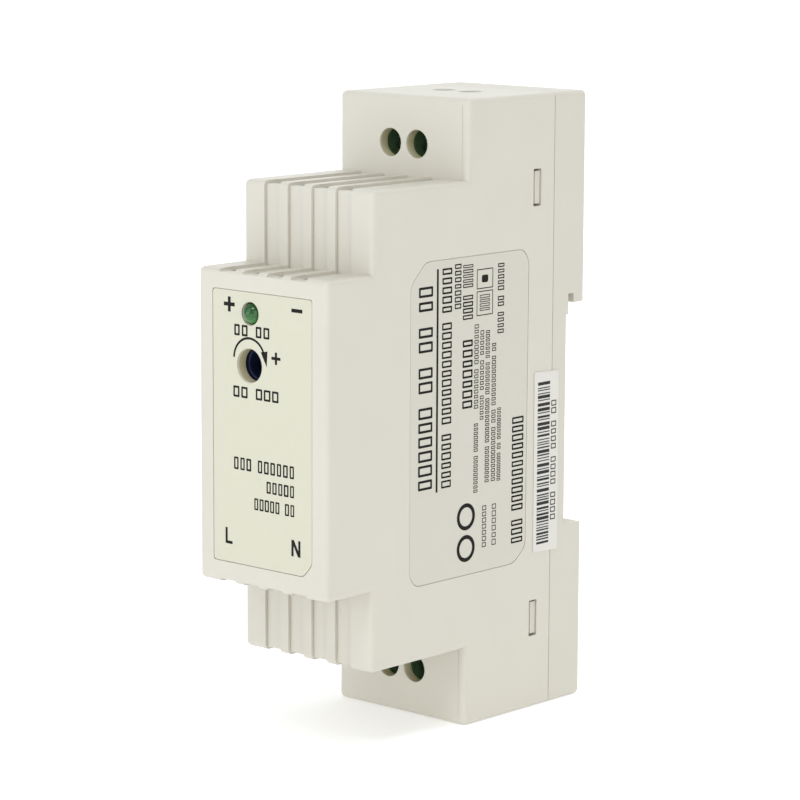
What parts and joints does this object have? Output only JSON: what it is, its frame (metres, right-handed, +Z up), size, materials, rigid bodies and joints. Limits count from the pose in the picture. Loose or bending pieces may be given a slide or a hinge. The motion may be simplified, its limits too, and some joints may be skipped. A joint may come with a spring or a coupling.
{
  "type": "din rail power supply",
  "caption": "Narrow stepped DIN rail power supply with vent grooves, screw terminals top and bottom, status lamp, voltage trimmer and a sprung rail latch.",
  "frame": {"origin": "middle of the rail seat: the plane that the mounting rail's flanges rest on, at mid width and at the middle of a 35 mm rail in the channel", "axes": "+X to the right seen from the front, +Y from the front panel towards the rail and the cabinet wall, +Z up along the case"},
  "size_m": [0.0253, 0.057, 0.092],
  "materials": {
    "case": "fine moulded texture, warm off-white",
    "base": "fine moulded texture, warm off-white",
    "latch": "smooth moulded",
    "label": "satin printed film",
    "sticker": "matt white film",
    "terminal_green": "moulded green",
    "zinc_steel": "zinc plated",
    "spring_steel": "bright wire",
    "tinned_brass": "tinned",
    "board": "solder mask",
    "ferrite": "dark sintered",
    "bobbin": "moulded",
    "tape": "polyester tape",
    "copper": "enamelled wire",
    "can_sleeve": "sleeved can",
    "film_case": "moulded case",
    "disc_blue": "dipped",
    "package": "epoxy package",
    "aluminium": "mill finish",
    "lamp_green": "tinted clear epoxy",
    "trimmer_blue": "moulded",
    "rotor_white": "moulded",
    "fuse_brown": "moulded",
    "fish_paper": "pressed paper"
  },
  "bodies": {
    "housing": {"front_cover": "case", "rear_base": "base", "latch_spring": "spring_steel", "front_label": "label", "side_label": "label", "serial_sticker": "sticker", "main_board": "board", "control_board": "board", "board_header": "package", "transformer_core_front": "ferrite", "transformer_core_rear": "ferrite", "transformer_bobbin": "bobbin", "transformer_winding": "tape", "bulk_capacitor": "can_sleeve", "output_capacitor_a": "can_sleeve", "output_capacitor_b": "can_sleeve", "x_capacitor": "film_case", "y_capacitor": "disc_blue", "thermistor": "package", "fuse": "fuse_brown", "output_choke_core": "ferrite", "output_choke_winding": "copper", "bridge_rectifier": "package", "heat_sink": "aluminium", "output_diode": "package", "heat_sink_screw": "zinc_steel", "switcher_chip": "package", "optocoupler": "package", "auxiliary_capacitor": "can_sleeve", "insulation_sheet": "fish_paper", "status_lamp": "lamp_green", "trimmer_body": "trimmer_blue", "output_terminal_block": "terminal_green", "output_contact_positive": "tinned_brass", "output_contact_negative": "tinned_brass", "input_terminal_block": "terminal_green", "input_contact_line": "tinned_brass", "input_contact_neutral": "tinned_brass"},
    "latch": {"rail_latch": "latch"},
    "trimmer_rotor": {"trimmer_rotor": "rotor_white"},
    "output_screw_positive": {"output_screw_positive": "zinc_steel"},
    "output_clamp_positive": {"output_clamp_positive": "zinc_steel"},
    "output_screw_negative": {"output_screw_negative": "zinc_steel"},
    "output_clamp_negative": {"output_clamp_negative": "zinc_steel"},
    "input_screw_line": {"input_screw_line": "zinc_steel"},
    "input_clamp_line": {"input_clamp_line": "zinc_steel"},
    "input_screw_neutral": {"input_screw_neutral": "zinc_steel"},
    "input_clamp_neutral": {"input_clamp_neutral": "zinc_steel"}
  },
  "joints": [
    {"name": "latch_slide", "type": "slide", "parent": "housing", "child": "latch", "axis": [0, 0, 1], "range_m": [-0.0025, 0], "stiffness_N_per_m": 300, "springref_m": 0.006, "deforming": ["latch_spring"]},
    {"name": "voltage_trim", "type": "hinge", "parent": "housing", "child": "trimmer_rotor", "pos_m": [-0.00245, -0.0482, 0.011], "axis": [0, 1, 0], "range_deg": [-135, 135]},
    {"name": "output_screw_turn_positive", "type": "hinge", "parent": "housing", "child": "output_screw_positive", "pos_m": [-0.00257, -0.0203, 0.04065], "axis": [0, 1, 0], "range_deg": [0, 1584]},
    {"name": "output_clamp_lift_positive", "type": "slide", "parent": "housing", "child": "output_clamp_positive", "axis": [0, -1, 0], "range_m": [0, 0.0022]},
    {"name": "output_screw_turn_negative", "type": "hinge", "parent": "housing", "child": "output_screw_negative", "pos_m": [0.00257, -0.0203, 0.04065], "axis": [0, 1, 0], "range_deg": [0, 1584]},
    {"name": "output_clamp_lift_negative", "type": "slide", "parent": "housing", "child": "output_clamp_negative", "axis": [0, -1, 0], "range_m": [0, 0.0022]},
    {"name": "input_screw_turn_line", "type": "hinge", "parent": "housing", "child": "input_screw_line", "pos_m": [-0.00257, -0.0203, -0.03725], "axis": [0, 1, 0], "range_deg": [0, 1584]},
    {"name": "input_clamp_lift_line", "type": "slide", "parent": "housing", "child": "input_clamp_line", "axis": [0, -1, 0], "range_m": [0, 0.0022]},
    {"name": "input_screw_turn_neutral", "type": "hinge", "parent": "housing", "child": "input_screw_neutral", "pos_m": [0.00257, -0.0203, -0.03725], "axis": [0, 1, 0], "range_deg": [0, 1584]},
    {"name": "input_clamp_lift_neutral", "type": "slide", "parent": "housing", "child": "input_clamp_neutral", "axis": [0, -1, 0], "range_m": [0, 0.0022]}
  ],
  "couplings": [
    {"joint": "output_screw_turn_positive", "follows": "output_clamp_lift_positive", "rad_per_m": 12566},
    {"joint": "output_screw_turn_negative", "follows": "output_clamp_lift_negative", "rad_per_m": 12566},
    {"joint": "input_screw_turn_line", "follows": "input_clamp_lift_line", "rad_per_m": 12566},
    {"joint": "input_screw_turn_neutral", "follows": "input_clamp_lift_neutral", "rad_per_m": 12566}
  ]
}
